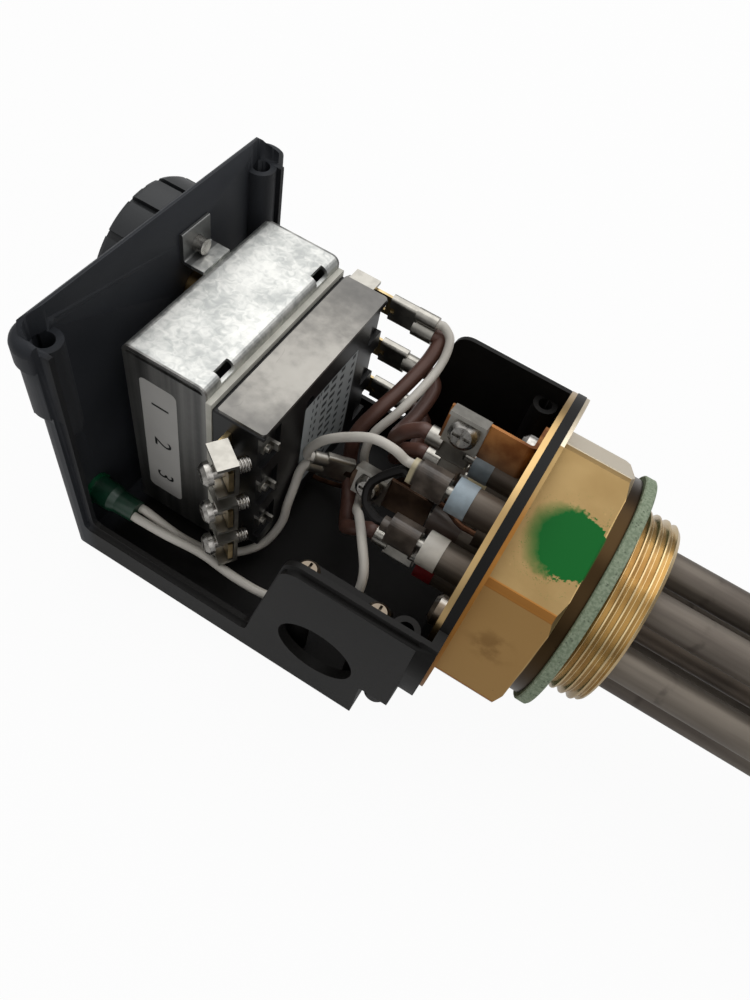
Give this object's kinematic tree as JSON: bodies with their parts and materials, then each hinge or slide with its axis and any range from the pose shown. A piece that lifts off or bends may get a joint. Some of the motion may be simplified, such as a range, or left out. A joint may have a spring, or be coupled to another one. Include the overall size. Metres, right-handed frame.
{
  "type": "screw plug immersion heater",
  "caption": "Immersion heater with hairpin tubes on a hexagonal brass screw plug, and an open terminal case holding a temperature regulator, its knob, switch block and wiring.",
  "frame": {"origin": "on the screw plug's axis, at the end of the hexagon that faces the tubes", "axes": "+X along the heater's axis towards the tubes, +Z out of the case's open side, +Y across the case away from the cable entry"},
  "size_m": [0.431, 0.0888, 0.0849],
  "materials": {
    "case_black": "satin moulded plastic",
    "knob_grey": "satin moulded plastic",
    "brass": "machined, dull",
    "sheath": "matt annealed tube",
    "pocket": "dull tube",
    "fibre_washer": "compressed fibre",
    "plated_screw": "nickel plated",
    "plated_clip": "tin plated",
    "terminal_brass": "stamped strip",
    "copper": "bare copper strip",
    "galvanised": "zinc coated sheet",
    "cover_steel": "satin sheet",
    "pressboard": "pressed board",
    "block_black": "moulded resin",
    "bush_blue_grey": "glazed",
    "bush_light_blue": "glazed",
    "bush_white": "glazed",
    "bush_red": "glazed",
    "bush_brown": "glazed",
    "bush_cream": "glazed",
    "boot_brown": "soft sleeve",
    "wire_brown": "silicone covering",
    "wire_white": "silicone covering",
    "capillary": "drawn copper tube",
    "lamp_lens": "clear green",
    "sleeve_green": "shrink sleeve"
  },
  "bodies": {
    "heater": {"housing": "case_black", "cable_clamp": "case_black", "cable_clamp_screws": "plated_screw", "plug_body": "brass", "clamping_plate": "brass", "plate_screws": "plated_screw", "sealing_washer": "fibre_washer", "heating_element_1": "sheath", "heating_element_2": "sheath", "heating_element_3": "sheath", "sensor_pocket": "pocket", "bush_blue_grey": "bush_blue_grey", "bush_light_blue": "bush_light_blue", "bush_white": "bush_white", "bush_red": "bush_red", "bush_brown": "bush_brown", "bush_cream": "bush_cream", "terminal_pins": "plated_clip", "element_connectors": "plated_clip", "star_connector": "plated_clip", "link_boots": "boot_brown", "star_strap": "copper", "star_clamp": "plated_clip", "star_screw": "plated_screw", "earth_strap": "copper", "earth_clamp": "plated_clip", "earth_screw": "plated_screw", "earth_fixing_screw": "plated_screw", "regulator_frame": "galvanised", "frame_screws": "plated_screw", "shaft_bush": "brass", "insulating_strip": "pressboard", "switch_block": "block_black", "switch_plate": "cover_steel", "contact_tabs": "plated_clip", "input_bars": "terminal_brass", "input_clamps": "plated_clip", "input_screws": "plated_screw", "output_bars": "terminal_brass", "output_clamps": "plated_clip", "output_screws": "plated_screw", "output_connectors": "plated_clip", "indicator_lamp": "lamp_lens", "lamp_sleeve": "sleeve_green", "phase_wire_1": "wire_brown", "phase_wire_2": "wire_brown", "phase_wire_3": "wire_brown", "lamp_phase_lead": "wire_white", "lamp_neutral_lead": "wire_white", "star_link_1": "wire_white", "star_link_2": "boot_brown", "sensing_line_1": "capillary", "sensing_line_2": "capillary"},
    "control_knob": {"knob": "knob_grey", "control_shaft": "plated_clip"}
  },
  "joints": [
    {"name": "knob_turn", "type": "hinge", "parent": "heater", "child": "control_knob", "pos_m": [-0.12, 0.0115, 0.0144], "axis": [-1, 0, 0], "range_deg": [0, 270]}
  ]
}
